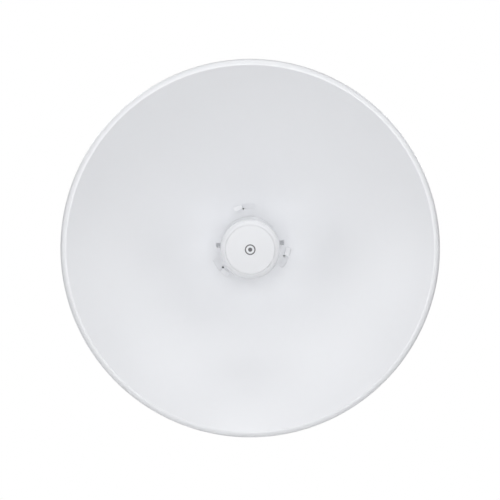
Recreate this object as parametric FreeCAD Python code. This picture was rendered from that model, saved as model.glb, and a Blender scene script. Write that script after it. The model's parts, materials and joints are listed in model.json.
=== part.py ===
"""Outdoor wireless bridge: a white parabolic dish, a feed that holds the radio, a rear housing with a
twist lock and a release lever, an elevation bracket and a pole clamp.

Frame: millimetres, +Z up. The Z axis is the pole's axis, and the origin is on it at the height of the
dish's axis. The dish looks along -Y, so "front" is -Y and "rear" is +Y. Angles of the twist lock are
measured from +X towards +Z, as a person in front of the dish sees them.
"""

import FreeCAD, Part
import math
import os

V = FreeCAD.Vector
X_AXIS = V(1, 0, 0)
Y_AXIS = V(0, 1, 0)
Z_AXIS = V(0, 0, 1)

# ---- driving dimensions: dish -------------------------------------------------------------------
DISH_R = 210.0          # outside of the rolled lip
CREASE_R = 203.2        # where the bowl turns into the lip
FOCUS = 112.0           # focal length of the bowl
SHEET = 1.2             # sheet thickness
APEX_Y = -120.0         # the bowl's front surface on its axis
DISH_HOLE_R = 31.0      # central hole, which the feed passes through
LIP_LEAN = 10.0         # degrees that the lip still rises forwards at the crease
LIP_SKIRT = 4.5         # straight part of the lip, going back
GAP = 0.4               # clearance between pieces that move past each other

# ---- twist lock: three hooks of the rear housing in three keyhole slots of the dish --------------
LOCK_COUNT = 3
ENTRY_FROM, ENTRY_TO = 83.4, 101.0      # degrees: the wide half of each slot
LOCK_TO = 115.0                         # degrees: end of the narrow half
ENTRY_R0, ENTRY_R1 = 40.4, 46.3
NARROW_R0, NARROW_R1 = 41.6, 45.2
STEM_FROM, STEM_TO = 103.0, 113.5
STEM_R0, STEM_R1 = 42.0, 44.8
HEAD_FROM, HEAD_TO = 102.4, 115.1
HEAD_R0, HEAD_R1 = 40.7, 46.0
HEAD_BACK_Y, HEAD_FRONT_Y = -125.2, -127.0
INDEX_ANGLE = 100.9     # small index and drain hole at the inner corner where the two halves meet
INDEX_AT_R = 41.0
INDEX_HOLE_R = 1.0
POCKET_R = 36.2         # two square keying pockets beside the feed
POCKET_SIDE = 5.0
POCKET_ANGLE = 2.6
POCKET_FLOOR = 0.8      # what is left of the housing behind each pocket

# ---- feed ---------------------------------------------------------------------------------------
FEED_R = 28.0           # tail, which slides in the rear housing
FEED_WALL = 2.2
COLLAR_R = 31.6         # collar that seats in front of the dish and covers its hole
COLLAR_Y = -122.7
COLLAR_T = 1.3
TAPER_Y = -136.0        # the tube starts to widen here
CAP_JOINT_R = 32.3
SHOULDER_R = 33.0
DISC_R = 27.2           # raised front disc
FEED_FRONT_Y = -213.0
SHOULDER_Y = -204.0     # widest section of the cap is here
CAP_JOINT_Y = -192.0
TAIL_Y = -88.0          # rear end of the tube
TAIL_END_Y = -85.5      # rear face of the tail cap
GROOVE_FLOOR_Z = 27.0   # guide groove of the latch tooth
BOARD_TOP_Z = -7.4
BOARD_T = 1.6
BOARD_UNDER_Z = BOARD_TOP_Z - BOARD_T
BOARD_HALF_X = 20.0
BOARD_FRONT_Y, BOARD_REAR_Y = -174.5, -95.0
PAD_T = 1.0             # thermal pad between the board and the heat spreader
JACK_Y = -102.5         # centre of the Ethernet jack and of the cable inlet
BUTTON_X, BUTTON_Y = -6.0, -113.5
SPLASH_Y = -209.0       # front of the splash plate
SPLASH_R = 25.0
HORN_MOUTH_Y = -189.0   # the horn's open front edge
HORN_FLOOR_Y = -178.0
HORN_BACK_Y = -175.0
HORN_R = 20.0
HORN_WALL = 2.0
PATCH_R = 14.0

# ---- rear housing -------------------------------------------------------------------------------
FLANGE_R = 60.0
HOUSING_R = 46.0
HOUSING_WALL = 3.0
HOUSING_BACK_Y = -80.0
CAVITY_FRONT_Y = -116.5
SLEEVE_OUT_R = 31.0
SCREW_CIRCLE_R = 37.3
PAD_TOP_Z = 47.0        # flat under the release lever
PAD_LOW_Z = -48.0       # flat above the cable door
LEVER_PIVOT = (-97.0, 50.2)     # y, z
LEVER_PIN_R = 1.5
SPRING_Y = -87.0
SPRING_LOW_Z = 44.5
LEVER_UNDER_Z = 48.4

# ---- elevation bracket --------------------------------------------------------------------------
TILT_Y = -58.0
PLATE_BACK_Y = -76.0
TILT_EAR_X0, TILT_EAR_X1 = 16.0, 20.0
POLE_EAR_X0, POLE_EAR_X1 = 20.5, 24.5
TILT_EAR_R = 30.5
LOCK_BOLT_Z = 24.0
TILT_LIMIT = 20.0
PIVOT_R = 4.0
LOCK_BOLT_R = 3.0

# ---- pole clamp ---------------------------------------------------------------------------------
POLE_R = 25.4
CLAMP_HALF_Z = 32.0
CLAMP_HALF_X = 46.0
CLAMP_BOLT_X = 38.0
CLAMP_BOLT_R = 4.0
SADDLE_Y = 30.0         # outer face of each clamp half, from the pole's axis
WING_Y = 22.0           # inner face of the wings
LIPS_Y = 13.0           # how near the halves come to the pole's middle
RIB_RISE = 4.5          # height of the ribs on the back of the jaw
BOLT_END_Y = 60.0


# ---- helpers ------------------------------------------------------------------------------------
def bowl_y(radius, apex=APEX_Y):
    """Height of the bowl's paraboloid at a radius, measured along Y."""
    return apex - radius ** 2 / (4 * FOCUS)


def block(x0, x1, y0, y1, z0, z1):
    """Plain box between two corners."""
    return Part.makeBox(x1 - x0, y1 - y0, z1 - z0, V(x0, y0, z0))


def soft_block(x0, x1, y0, y1, z0, z1, radius, axis):
    """Box whose four edges along one axis are rounded."""
    box = block(x0, x1, y0, y1, z0, z1)
    along = [e for e in box.Edges if abs(e.tangentAt(0).dot(axis)) > 0.99]
    return box.makeFillet(radius, along)


def rod_x(radius, x0, x1, y, z):
    return Part.makeCylinder(radius, x1 - x0, V(x0, y, z), X_AXIS)


def rod_y(radius, y0, y1, x=0.0, z=0.0):
    return Part.makeCylinder(radius, y1 - y0, V(x, y0, z), Y_AXIS)


def rod_z(radius, z0, z1, x, y):
    return Part.makeCylinder(radius, z1 - z0, V(x, y, z0), Z_AXIS)


def hexagon(across, base, direction, height):
    """Hexagonal prism standing on a point."""
    corner = across / math.sqrt(3)
    points = [V(corner * math.cos(math.radians(60 * i)), corner * math.sin(math.radians(60 * i)), 0)
              for i in range(7)]
    solid = Part.Face(Part.makePolygon(points)).extrude(V(0, 0, height))
    solid.Placement = FreeCAD.Placement(base, FreeCAD.Rotation(Z_AXIS, direction))
    return solid


def line(a, b):
    return Part.makeLine(V(a[0], a[1], 0), V(b[0], b[1], 0))


def arc(a, through, b):
    return Part.Arc(V(a[0], a[1], 0), V(through[0], through[1], 0), V(b[0], b[1], 0)).toShape()


def parabola(r0, r1, height):
    """Exact piece of a parabola y = height(r), as a quadratic curve."""
    y0, y1 = height(r0), height(r1)
    middle = height((r0 + r1) / 2)
    curve = Part.BezierCurve()
    curve.setPoles([V(r0, y0, 0), V((r0 + r1) / 2, 2 * middle - (y0 + y1) / 2, 0), V(r1, y1, 0)])
    return curve.toShape()


def turned(edges):
    """Solid of revolution about Y, from edges given as (radius, y)."""
    wire = Part.Wire(Part.__sortEdges__(edges))
    return Part.Face(wire).revolve(V(0, 0, 0), Y_AXIS, 360)


def turned_polygon(points):
    """Solid of revolution about Y of a closed polygon of (radius, y)."""
    pairs = zip(points, points[1:] + points[:1])
    return turned([line(a, b) for a, b in pairs])


def arc_block(r0, r1, degrees0, degrees1, y0, y1):
    """Piece of a flat ring about the Y axis, between two angles and two radii."""
    def at(radius, degrees):
        angle = math.radians(degrees)
        return V(radius * math.cos(angle), y0, radius * math.sin(angle))
    middle = (degrees0 + degrees1) / 2
    edges = [
        Part.Arc(at(r0, degrees0), at(r0, middle), at(r0, degrees1)).toShape(),
        Part.makeLine(at(r0, degrees1), at(r1, degrees1)),
        Part.Arc(at(r1, degrees1), at(r1, middle), at(r1, degrees0)).toShape(),
        Part.makeLine(at(r1, degrees0), at(r0, degrees0)),
    ]
    return Part.Face(Part.Wire(edges)).extrude(V(0, y1 - y0, 0))


def turned_about_dish(shape, degrees):
    """Copy turned about the dish's axis, positive from +X towards +Z."""
    copy = shape.copy()
    copy.rotate(V(0, 0, 0), V(0, -1, 0), degrees)
    return copy


def prism_x(points, x0, x1):
    """Prism along X over a closed polygon of (y, z)."""
    corners = [V(x0, y, z) for y, z in points + points[:1]]
    return Part.Face(Part.makePolygon(corners)).extrude(V(x1 - x0, 0, 0))


def group(shapes):
    return Part.makeCompound(shapes)


# ---- dish ---------------------------------------------------------------------------------------
def back_of_sheet(radius):
    """Rear surface of the bowl, so that the sheet keeps its thickness square to its slope."""
    slope = CREASE_R / (2 * FOCUS)
    extra = SHEET * (math.sqrt(1 + slope ** 2) - 1)
    return bowl_y(radius) + SHEET + extra * (radius / CREASE_R) ** 2


def dish_profile():
    """Bowl and rolled lip: the lip leans forwards at the crease and then curls back."""
    lean = math.radians(LIP_LEAN)
    outer = (DISH_R - CREASE_R) / (1 + math.sin(lean))
    inner = outer - SHEET
    centre_r = DISH_R - outer
    centre_y = bowl_y(CREASE_R) + outer * math.cos(lean)

    def on(radius, degrees):
        angle = math.radians(degrees)
        return (centre_r + radius * math.sin(angle), centre_y - radius * math.cos(angle))

    skirt_y = centre_y + LIP_SKIRT
    join_r = centre_r - inner * math.sin(lean) - 0.35
    joint = (join_r, back_of_sheet(join_r))
    start = on(inner, -LIP_LEAN)
    return [
        parabola(DISH_HOLE_R, CREASE_R, bowl_y),
        arc(on(outer, -LIP_LEAN), on(outer, 40), on(outer, 90)),
        line(on(outer, 90), (DISH_R, skirt_y)),
        line((DISH_R, skirt_y), (DISH_R - SHEET, skirt_y)),
        line((DISH_R - SHEET, skirt_y), on(inner, 90)),
        arc(on(inner, 90), on(inner, 40), start),
        line(start, joint),
        parabola(DISH_HOLE_R, join_r, back_of_sheet),
        line((DISH_HOLE_R, bowl_y(DISH_HOLE_R)), (DISH_HOLE_R, back_of_sheet(DISH_HOLE_R))),
    ]


def keyhole_slot():
    """Wide entry and narrow lock half of one twist-lock slot, cut along Y."""
    front, rear = bowl_y(ENTRY_R1) - 2, APEX_Y + 2
    wide = arc_block(ENTRY_R0, ENTRY_R1, ENTRY_FROM, ENTRY_TO, front, rear)
    narrow = arc_block(NARROW_R0, NARROW_R1, ENTRY_TO - 1, LOCK_TO, front, rear)
    return wide.fuse(narrow)


def index_hole(y0, y1):
    """Rod through the inner corner where the two halves of a slot meet."""
    angle = math.radians(INDEX_ANGLE)
    return rod_y(INDEX_HOLE_R, y0, y1, INDEX_AT_R * math.cos(angle), INDEX_AT_R * math.sin(angle))


def keying_pocket(y0, y1):
    half = POCKET_SIDE / 2
    return block(POCKET_R - half, POCKET_R + half, y0, y1, -half, half)


def pockets(y0, y1):
    """The two keying pockets, on opposite sides of the feed."""
    return [turned_about_dish(keying_pocket(y0, y1), POCKET_ANGLE + side) for side in (0, 180)]


def thirds(shape):
    """Copies of one shape of the twist lock, one for each hook and slot."""
    return [turned_about_dish(shape, 360 / LOCK_COUNT * i) for i in range(LOCK_COUNT)]


def dish_reflector():
    front, rear = bowl_y(ENTRY_R1) - 2, APEX_Y + 2
    slot = keyhole_slot().fuse(index_hole(front, rear))
    return turned(dish_profile()).cut(thirds(slot) + pockets(front, rear))


# ---- rear housing and what is on it -------------------------------------------------------------
def housing_front(radius):
    """Front face of the housing, which follows the rear of the bowl."""
    return bowl_y(radius, APEX_Y + SHEET + GAP)


def housing_shell():
    sleeve_in = FEED_R + GAP
    inner = HOUSING_R - HOUSING_WALL
    rim_back = housing_front(FLANGE_R) + 3.5
    return turned([
        parabola(sleeve_in, FLANGE_R, housing_front),
        line((FLANGE_R, housing_front(FLANGE_R)), (FLANGE_R, rim_back)),
        line((FLANGE_R, rim_back), (HOUSING_R + 4, rim_back + 3.2)),
        arc((HOUSING_R + 4, rim_back + 3.2), (HOUSING_R + 1.1, rim_back + 4.9), (HOUSING_R, rim_back + 8)),
        line((HOUSING_R, rim_back + 8), (HOUSING_R, HOUSING_BACK_Y)),
        line((HOUSING_R, HOUSING_BACK_Y), (inner, HOUSING_BACK_Y)),
        line((inner, HOUSING_BACK_Y), (inner, CAVITY_FRONT_Y)),
        line((inner, CAVITY_FRONT_Y), (SLEEVE_OUT_R, CAVITY_FRONT_Y)),
        line((SLEEVE_OUT_R, CAVITY_FRONT_Y), (SLEEVE_OUT_R, TAIL_Y)),
        line((SLEEVE_OUT_R, TAIL_Y), (sleeve_in, TAIL_Y)),
        line((sleeve_in, TAIL_Y), (sleeve_in, housing_front(sleeve_in))),
    ])


def hook():
    """One twist-lock hook: a stem through the narrow half of the slot and a head in front of it."""
    stem = arc_block(STEM_R0, STEM_R1, STEM_FROM, STEM_TO, HEAD_BACK_Y - 0.5, housing_front(0) - 2)
    head = arc_block(HEAD_R0, HEAD_R1, HEAD_FROM, HEAD_TO, HEAD_FRONT_Y, HEAD_BACK_Y)
    return stem.fuse(head)


def screw_places():
    """x, z of the four screws that hold the tilt bracket on the housing."""
    for i in range(4):
        angle = math.radians(45 + 90 * i)
        yield SCREW_CIRCLE_R * math.cos(angle), SCREW_CIRCLE_R * math.sin(angle)


def lever_mounting():
    """Flat pad with two lugs for the lever's pin, on top of the housing."""
    pivot_y, pivot_z = LEVER_PIVOT
    pad = soft_block(-11, 11, -113, -83, HOUSING_R - 3, PAD_TOP_Z, 3, Z_AXIS)
    for side in (-1, 1):
        low, high = sorted((side * 7.0, side * 10.0))
        lug = block(low, high, pivot_y - 3.2, pivot_y + 3.2, PAD_TOP_Z, pivot_z)
        pad = pad.fuse([lug, rod_x(3.2, low, high, pivot_y, pivot_z)])
    return pad


def door_rails():
    """Flat pad under the housing with two L-shaped rails that the cable door slides in."""
    pad = block(-18, 18, -118.5, HOUSING_BACK_Y, PAD_LOW_Z, -40)
    shapes = []
    for side in (-1, 1):
        outer = sorted((side * 15.3, side * 18.0))
        lip = sorted((side * 12.5, side * 18.0))
        shapes.append(block(outer[0], outer[1], -118.5, HOUSING_BACK_Y, -53, PAD_LOW_Z))
        shapes.append(block(lip[0], lip[1], -118.5, HOUSING_BACK_Y, -53, -50.7))
    return pad.fuse(shapes)


def rear_housing():
    outside = [lever_mounting(), door_rails()]
    cavity = rod_y(HOUSING_R - HOUSING_WALL, CAVITY_FRONT_Y, HOUSING_BACK_Y)
    outside = [shape.cut(cavity) for shape in outside]
    bosses = [rod_y(4.2, CAVITY_FRONT_Y, HOUSING_BACK_Y, x, z) for x, z in screw_places()]
    body = housing_shell().fuse(outside + bosses + thirds(hook()))
    pivot_y, pivot_z = LEVER_PIVOT
    cuts = [rod_y(2.0, CAVITY_FRONT_Y + 12, HOUSING_BACK_Y, x, z) for x, z in screw_places()]
    cuts.append(block(-12, 12, -116, -90, -60, 0))
    cuts.append(block(-4.6, 4.6, -112.5, -103, 26, 60))
    cuts.append(rod_x(LEVER_PIN_R, -12, 12, pivot_y, pivot_z))
    cuts.append(block(-3, 3, SPRING_Y - 4, SPRING_Y + 2, SPRING_LOW_Z, 60))
    cuts += pockets(HEAD_FRONT_Y, CAVITY_FRONT_Y - POCKET_FLOOR)
    cuts += thirds(index_hole(HEAD_FRONT_Y, CAVITY_FRONT_Y + 1))
    return body.cut(cuts)


def release_lever():
    """Rocker on the housing: pressing its rear end lifts the tooth out of the feed's groove."""
    pivot_y, pivot_z = LEVER_PIVOT
    bar = soft_block(-6.5, 6.5, -111.5, -83.5, LEVER_UNDER_Z, 51.6, 2.5, Z_AXIS)
    boss = rod_x(2.6, -6.5, 6.5, pivot_y, pivot_z)
    tooth = block(-3.6, 3.6, -109.5, -106, GROOVE_FLOOR_Z + 0.4, LEVER_UNDER_Z + 1)
    ribs = [soft_block(-5, 5, y, y + 1.2, 51.0, 52.4, 0.4, X_AXIS) for y in (-91.5, -89.0, -86.5)]
    lever = bar.fuse([boss, tooth] + ribs)
    return lever.cut(rod_x(LEVER_PIN_R + 0.05, -8, 8, pivot_y, pivot_z))


def lever_pin():
    pivot_y, pivot_z = LEVER_PIVOT
    return rod_x(LEVER_PIN_R, -10, 10, pivot_y, pivot_z)


def lever_spring():
    """Hairpin leaf spring between the housing's pocket and the lever's rear end."""
    half, leaf = 2.6, 0.4
    low = SPRING_LOW_Z
    front_y, bend_y = SPRING_Y - 3.5, SPRING_Y + 0.6
    bend_z, bend_r = low + 1.0, 1.0
    upper = LEVER_UNDER_Z - 0.05
    lower_leg = block(-half, half, front_y, bend_y, low, low + leaf)
    bend = rod_x(bend_r, -half, half, bend_y, bend_z).cut(rod_x(bend_r - leaf, -half, half, bend_y, bend_z))
    bend = bend.cut(block(-half, half, bend_y - 2, bend_y, low, low + 2))
    top = bend_z + bend_r
    slant = [(bend_y, top - leaf), (bend_y, top), (front_y, upper), (front_y, upper - leaf)]
    upper_leg = prism_x(slant, -half, half)
    return lower_leg.fuse([bend, upper_leg])


def cable_door():
    """Sliding cover under the cable chamber, with a notch at its front edge for the cable."""
    plate = block(-15, 15, -117.5, -86, -50.4, PAD_LOW_Z - 0.3)
    ribs = [block(-9, 9, y, y + 1.4, -51.4, -50.4) for y in (-95.5, -92.5, -89.5)]
    notch = block(-3.5, 3.5, -118, JACK_Y, -51, -48)
    return plate.fuse(ribs).cut([rod_z(5.5, -51, -48, 0, JACK_Y), notch])


def cable_grommet():
    """Rubber ring in the door's notch, slit towards the front so that a fitted cable can enter."""
    ring = rod_z(5.5, -50.4, PAD_LOW_Z - 0.3, 0, JACK_Y)
    collar = rod_z(6.8, -52.4, -50.4, 0, JACK_Y)
    slit = block(-0.8, 0.8, JACK_Y - 8, JACK_Y, -53, -48)
    return ring.fuse(collar).cut([rod_z(3.2, -53, -48, 0, JACK_Y), slit])


# ---- elevation bracket --------------------------------------------------------------------------
def arc_slot(x0, x1, side):
    """Arc slot about the tilt pivot, above (side 1) or below (side -1) it."""
    reach = TILT_LIMIT + 1
    half = LOCK_BOLT_R + 0.35

    def at(radius, degrees):
        angle = math.radians(degrees)
        return V(x0, TILT_Y + radius * math.sin(angle), side * radius * math.cos(angle))
    r0, r1 = LOCK_BOLT_Z - half, LOCK_BOLT_Z + half
    beyond = reach + math.degrees(half / LOCK_BOLT_Z)
    edges = [
        Part.Arc(at(r0, -reach), at(r0, 0), at(r0, reach)).toShape(),
        Part.Arc(at(r0, reach), at(LOCK_BOLT_Z, beyond), at(r1, reach)).toShape(),
        Part.Arc(at(r1, reach), at(r1, 0), at(r1, -reach)).toShape(),
        Part.Arc(at(r1, -reach), at(LOCK_BOLT_Z, -beyond), at(r0, -reach)).toShape(),
    ]
    return Part.Face(Part.Wire(edges)).extrude(V(x1 - x0, 0, 0))


def tilt_bracket():
    """Disc that closes the housing, with two ears that carry the pivot and the arc slots."""
    plate = rod_y(HOUSING_R, HOUSING_BACK_Y, PLATE_BACK_Y)
    ears = []
    for low, high in ((TILT_EAR_X0, TILT_EAR_X1), (-TILT_EAR_X1, -TILT_EAR_X0)):
        fan = rod_x(TILT_EAR_R, low, high, TILT_Y, 0)
        fan = fan.common(block(low - 1, high + 1, PLATE_BACK_Y - 1, TILT_Y + 16, -40, 40))
        web = block(low, high, PLATE_BACK_Y - 1, TILT_Y, -TILT_EAR_R, TILT_EAR_R)
        ears.append(fan.fuse(web))
    ribs = [block(-TILT_EAR_X0, TILT_EAR_X0, PLATE_BACK_Y, PLATE_BACK_Y + 6, z - 1.5, z + 1.5)
            for z in (-29.0, 29.0)]
    body = plate.fuse(ears + ribs)
    cuts = [rod_x(PIVOT_R + 0.06, -30, 30, TILT_Y, 0)]
    cuts.append(arc_slot(-30, 30, 1))
    cuts.append(arc_slot(-30, 30, -1))
    for x, z in screw_places():
        cuts.append(rod_y(2.2, HOUSING_BACK_Y - 1, PLATE_BACK_Y + 1, x, z))
        cuts.append(Part.makeCone(2.1, 4.2, 2.3, V(x, PLATE_BACK_Y - 2.3, z), Y_AXIS))
    return body.cut(cuts)


def bracket_screws():
    """Four countersunk screws, flush in the tilt bracket's disc."""
    screws = []
    for x, z in screw_places():
        shank = rod_y(1.95, -96, PLATE_BACK_Y - 2.2, x, z)
        head = Part.makeCone(2.0, 4.0, 2.2, V(x, PLATE_BACK_Y - 2.3, z), Y_AXIS)
        socket = hexagon(2.5, V(x, PLATE_BACK_Y - 1.5, z), Y_AXIS, 3)
        screws.append(shank.fuse(head).cut(socket))
    return group(screws)


def pole_ear(low, high):
    nose = rod_x(12, low, high, TILT_Y, 0)
    web = soft_block(low, high, TILT_Y - 6, -SADDLE_Y + 2, -31, 31, 5, X_AXIS)
    return nose.fuse(web)


def pole_bracket():
    """Front half of the pole clamp, with the two outer ears of the tilt pivot."""
    body = clamp_half().mirror(V(0, 0, 0), Y_AXIS)
    ears = [pole_ear(POLE_EAR_X0, POLE_EAR_X1), pole_ear(-POLE_EAR_X1, -POLE_EAR_X0)]
    body = body.fuse(ears)
    cuts = [rod_x(PIVOT_R + 0.1, -30, 30, TILT_Y, 0)]
    for z in (-LOCK_BOLT_Z, LOCK_BOLT_Z):
        cuts.append(rod_x(LOCK_BOLT_R + 0.1, -30, 30, TILT_Y, z))
    for x in (-CLAMP_BOLT_X, CLAMP_BOLT_X):
        cuts.append(block(x - 4.1, x + 4.1, -40, -10, -4.1, 4.1))
    return body.cut(cuts)


def clamp_half():
    """Saddle block with wings, for the rear of the pole; the front half is its mirror image."""
    wings = soft_block(-CLAMP_HALF_X, CLAMP_HALF_X, WING_Y, SADDLE_Y, -CLAMP_HALF_Z, CLAMP_HALF_Z, 6, Y_AXIS)
    saddle = block(-26, 26, LIPS_Y, SADDLE_Y - 1, -CLAMP_HALF_Z, CLAMP_HALF_Z)
    ribs = [block(-40, 40, LIPS_Y + 3, WING_Y + 1, z - 1.5, z + 1.5) for z in (-24.0, 24.0)]
    pole = Part.makeCylinder(POLE_R, 2 * CLAMP_HALF_Z + 2, V(0, 0, -CLAMP_HALF_Z - 1))
    return wings.fuse([saddle] + ribs).cut(pole)


def clamp_jaw():
    """Rear half, with three stiffening ribs across its back between the bolts."""
    holes = [rod_y(CLAMP_BOLT_R + 0.5, 0, 40, x, 0) for x in (-CLAMP_BOLT_X, CLAMP_BOLT_X)]
    ribs = [soft_block(-27, 27, SADDLE_Y - 1, SADDLE_Y + RIB_RISE, z - 1.6, z + 1.6, 2.4, Z_AXIS)
            for z in (-18.0, 0.0, 18.0)]
    return clamp_half().fuse(ribs).cut(holes)


# ---- fasteners of the mount ---------------------------------------------------------------------
def domed_head(radius, height, base_y, x):
    """Round head of a carriage bolt: a short rim and a spherical dome towards the front."""
    rim = 1.0
    dome = height - rim
    ball_r = (radius ** 2 + dome ** 2) / (2 * dome)
    ball = Part.makeSphere(ball_r, V(x, base_y - height + ball_r, 0))
    return ball.common(rod_y(radius, base_y - height - 1, base_y, x, 0))


def clamp_bolts():
    """Two carriage bolts with square necks in the pole bracket."""
    bolts = []
    for x in (-CLAMP_BOLT_X, CLAMP_BOLT_X):
        shank = rod_y(CLAMP_BOLT_R, -SADDLE_Y, BOLT_END_Y, x, 0)
        neck = block(x - 4, x + 4, -SADDLE_Y, -SADDLE_Y + 5, -4, 4)
        bolts.append(shank.fuse([neck, domed_head(9.5, 4.6, -SADDLE_Y, x)]))
    return group(bolts)


def clamp_washers():
    washers = []
    for x in (-CLAMP_BOLT_X, CLAMP_BOLT_X):
        ring = rod_y(8.0, SADDLE_Y, SADDLE_Y + 1.6, x, 0)
        washers.append(ring.cut(rod_y(4.3, SADDLE_Y - 1, SADDLE_Y + 3, x, 0)))
    return group(washers)


def clamp_nuts():
    """Two flange nuts behind the jaw."""
    nuts = []
    start = SADDLE_Y + 1.6
    for x in (-CLAMP_BOLT_X, CLAMP_BOLT_X):
        nut = hexagon(13.0, V(x, start, 0), Y_AXIS, 8.0)
        flange = rod_y(8.6, start, start + 1.6, x, 0)
        nuts.append(nut.fuse(flange).cut(rod_y(CLAMP_BOLT_R + 0.1, start - 1, start + 9, x, 0)))
    return group(nuts)


def hex_bolt(radius, across, head_height, z, length_to):
    """Bolt along X with its head on the +X side."""
    start = POLE_EAR_X1 + 1.6
    shank = rod_x(radius, length_to, start, TILT_Y, z)
    return shank.fuse(hexagon(across, V(start, TILT_Y, z), X_AXIS, head_height))


def ear_washers(radius, hole, places):
    washers = []
    for z in places:
        for low in (POLE_EAR_X1, -POLE_EAR_X1 - 1.6):
            ring = rod_x(radius, low, low + 1.6, TILT_Y, z)
            washers.append(ring.cut(rod_x(hole, low - 1, low + 3, TILT_Y, z)))
    return group(washers)


def ear_nut(radius, across, height, z):
    start = -POLE_EAR_X1 - 1.6 - height
    nut = hexagon(across, V(start, TILT_Y, z), X_AXIS, height)
    return nut.cut(rod_x(radius, start - 1, start + height + 1, TILT_Y, z))


def tilt_pivot_bolt():
    return hex_bolt(PIVOT_R, 13.0, 5.3, 0, -36)


def tilt_pivot_washers():
    return ear_washers(8.0, 4.2, (0,))


def tilt_pivot_nut():
    return ear_nut(PIVOT_R, 13.0, 6.5, 0)


def tilt_lock_bolts():
    return group([hex_bolt(LOCK_BOLT_R, 10.0, 4.0, z, -34) for z in (-LOCK_BOLT_Z, LOCK_BOLT_Z)])


def tilt_lock_washers():
    return ear_washers(6.0, 3.2, (-LOCK_BOLT_Z, LOCK_BOLT_Z))


def tilt_lock_nuts():
    return group([ear_nut(LOCK_BOLT_R, 10.0, 5.0, z) for z in (-LOCK_BOLT_Z, LOCK_BOLT_Z)])


# ---- feed: shells -------------------------------------------------------------------------------
def feed_tube():
    """Long shell of the radio: a straight tail, a collar in front of the dish and a slow taper outwards."""
    tail_in, mouth = FEED_R - FEED_WALL, CAP_JOINT_R - FEED_WALL
    collar_front = COLLAR_Y - COLLAR_T
    tube = turned_polygon([
        (FEED_R, TAIL_Y), (FEED_R, COLLAR_Y), (COLLAR_R, COLLAR_Y), (COLLAR_R, collar_front),
        (FEED_R, collar_front), (FEED_R, TAPER_Y), (CAP_JOINT_R, CAP_JOINT_Y),
        (mouth, CAP_JOINT_Y), (mouth, CAP_JOINT_Y + 6), (tail_in, TAPER_Y + 2), (tail_in, TAIL_Y),
    ])
    cuts = [block(-4.3, 4.3, -114, TAIL_Y + 1, GROOVE_FLOOR_Z, 30)]
    cuts.append(block(-8.2, 8.2, JACK_Y - 7.7, JACK_Y + 7.7, -30, -20))
    cuts.append(rod_z(2.0, -30, -20, BUTTON_X, BUTTON_Y))
    for x in light_places():
        cuts.append(rod_z(1.3, -30, -20, x, BUTTON_Y))
    return tube.cut(cuts)


def feed_cap():
    """Domed front shell with a shallow seat for the front disc, and a spigot in the tube."""
    front = FEED_FRONT_Y + 0.7
    seat_r = DISC_R + 0.12
    spigot = CAP_JOINT_R - FEED_WALL - 0.15
    return turned([
        line((0, front + 1.0), (seat_r, front + 1.0)),
        line((seat_r, front + 1.0), (seat_r, front)),
        line((seat_r, front), (seat_r + 0.5, front)),
        arc((seat_r + 0.5, front), (SHOULDER_R - 1.6, front + 3.5), (SHOULDER_R, SHOULDER_Y)),
        line((SHOULDER_R, SHOULDER_Y), (CAP_JOINT_R, CAP_JOINT_Y)),
        line((CAP_JOINT_R, CAP_JOINT_Y), (spigot, CAP_JOINT_Y)),
        line((spigot, CAP_JOINT_Y), (spigot, CAP_JOINT_Y + 5)),
        line((spigot, CAP_JOINT_Y + 5), (spigot - 1.6, CAP_JOINT_Y + 5)),
        line((spigot - 1.6, CAP_JOINT_Y + 5), (spigot - 1.6, SHOULDER_Y)),
        line((spigot - 1.6, SHOULDER_Y), (DISC_R - 1.0, front + 3.0)),
        line((DISC_R - 1.0, front + 3.0), (0, front + 3.0)),
        line((0, front + 3.0), (0, front + 1.0)),
    ])


def cap_disc():
    """Raised front disc, seated in the cap."""
    seat = FEED_FRONT_Y + 1.7
    edge = 0.5
    side, face = (DISC_R, FEED_FRONT_Y + edge), (DISC_R - edge, FEED_FRONT_Y)
    return turned([
        line((0, seat), (DISC_R, seat)),
        line((DISC_R, seat), side),
        arc(side, (DISC_R - 0.15, FEED_FRONT_Y + 0.15), face),
        line(face, (0, FEED_FRONT_Y)),
        line((0, FEED_FRONT_Y), (0, seat)),
    ])


def tail_cap():
    """Bulkhead that closes the tail, with a groove for its seal."""
    inner = FEED_R - FEED_WALL
    spigot = inner - 0.2
    cap = turned_polygon([
        (0, TAIL_END_Y), (FEED_R - 0.1, TAIL_END_Y), (FEED_R - 0.1, TAIL_Y), (spigot, TAIL_Y),
        (spigot, TAIL_Y - 1.5), (spigot - 1.3, TAIL_Y - 1.5), (spigot - 1.3, TAIL_Y - 3.1),
        (spigot, TAIL_Y - 3.1), (spigot, TAIL_Y - 4.6), (spigot - 2, TAIL_Y - 4.6),
        (spigot - 2, TAIL_Y - 1.5), (0, TAIL_Y - 1.5),
    ])
    cuts = [block(-4.3, 4.3, TAIL_Y - 1, TAIL_END_Y + 1, GROOVE_FLOOR_Z, 30)]
    for x, z in tail_screw_places():
        cuts.append(rod_y(1.5, TAIL_Y - 6, TAIL_END_Y + 1, x, z))
    return cap.cut(cuts)


def tail_seal():
    """O-ring in the tail cap's groove."""
    outer = FEED_R - FEED_WALL - 0.01
    ring = rod_y(outer, TAIL_Y - 3.0, TAIL_Y - 1.6)
    return ring.cut(rod_y(outer - 1.45, TAIL_Y - 4, TAIL_Y))


def tail_screw_places():
    """x, z of the two screws through the tail cap into the tail posts."""
    return ((-15.0, 0.0), (15.0, 0.0))


def tail_screws():
    screws = []
    for x, z in tail_screw_places():
        shank = rod_y(1.45, TAIL_Y - 12, TAIL_END_Y, x, z)
        head = rod_y(2.6, TAIL_END_Y, TAIL_END_Y + 1.6, x, z)
        socket = hexagon(2.0, V(x, TAIL_END_Y + 0.6, z), Y_AXIS, 3)
        screws.append(shank.fuse(head).cut(socket))
    return group(screws)


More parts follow.
